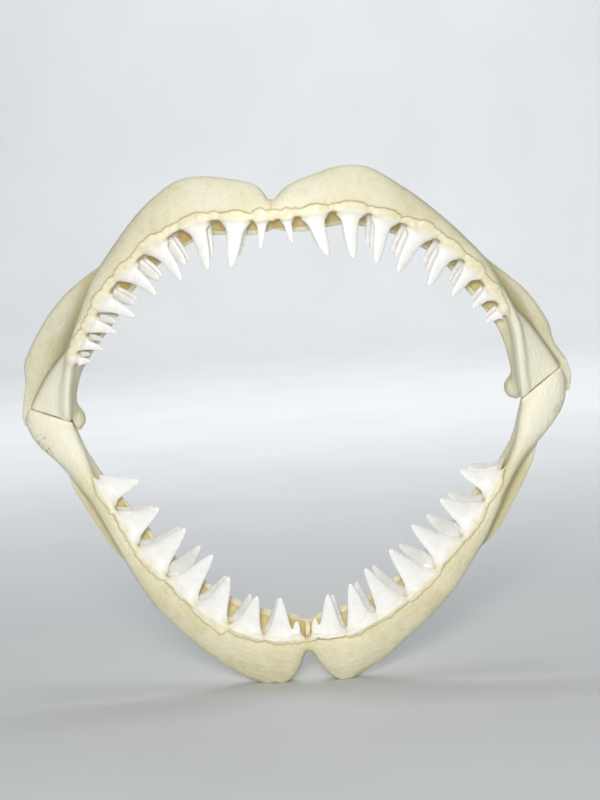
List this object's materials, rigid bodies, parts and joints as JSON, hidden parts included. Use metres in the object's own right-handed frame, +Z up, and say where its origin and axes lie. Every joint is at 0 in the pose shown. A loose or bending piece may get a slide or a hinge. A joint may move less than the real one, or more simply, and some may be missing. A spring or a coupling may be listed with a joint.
{
  "type": "great white shark jaws",
  "caption": "Pair of shark jaws, gaping, with rows of pointed upper and broad lower teeth, standing on the two lobes of the chin.",
  "frame": {"origin": "middle of the bounding box's base, on the floor under the jaws", "axes": "+Z up, -Y the way the shark faces, +X the shark's left side"},
  "size_m": [0.6718, 0.214, 0.6027],
  "materials": {
    "cartilage": "satin",
    "ligament": "satin",
    "enamel": "gloss"
  },
  "bodies": {
    "root": {"upper_jaw_left": "cartilage", "upper_jaw_right": "cartilage", "lower_jaw_left": "cartilage", "lower_jaw_right": "cartilage", "upper_symphysis": "ligament", "lower_symphysis": "ligament", "upper_teeth_left": "enamel", "upper_teeth_right": "enamel", "lower_teeth_left": "enamel", "lower_teeth_right": "enamel"}
  },
  "joints": []
}
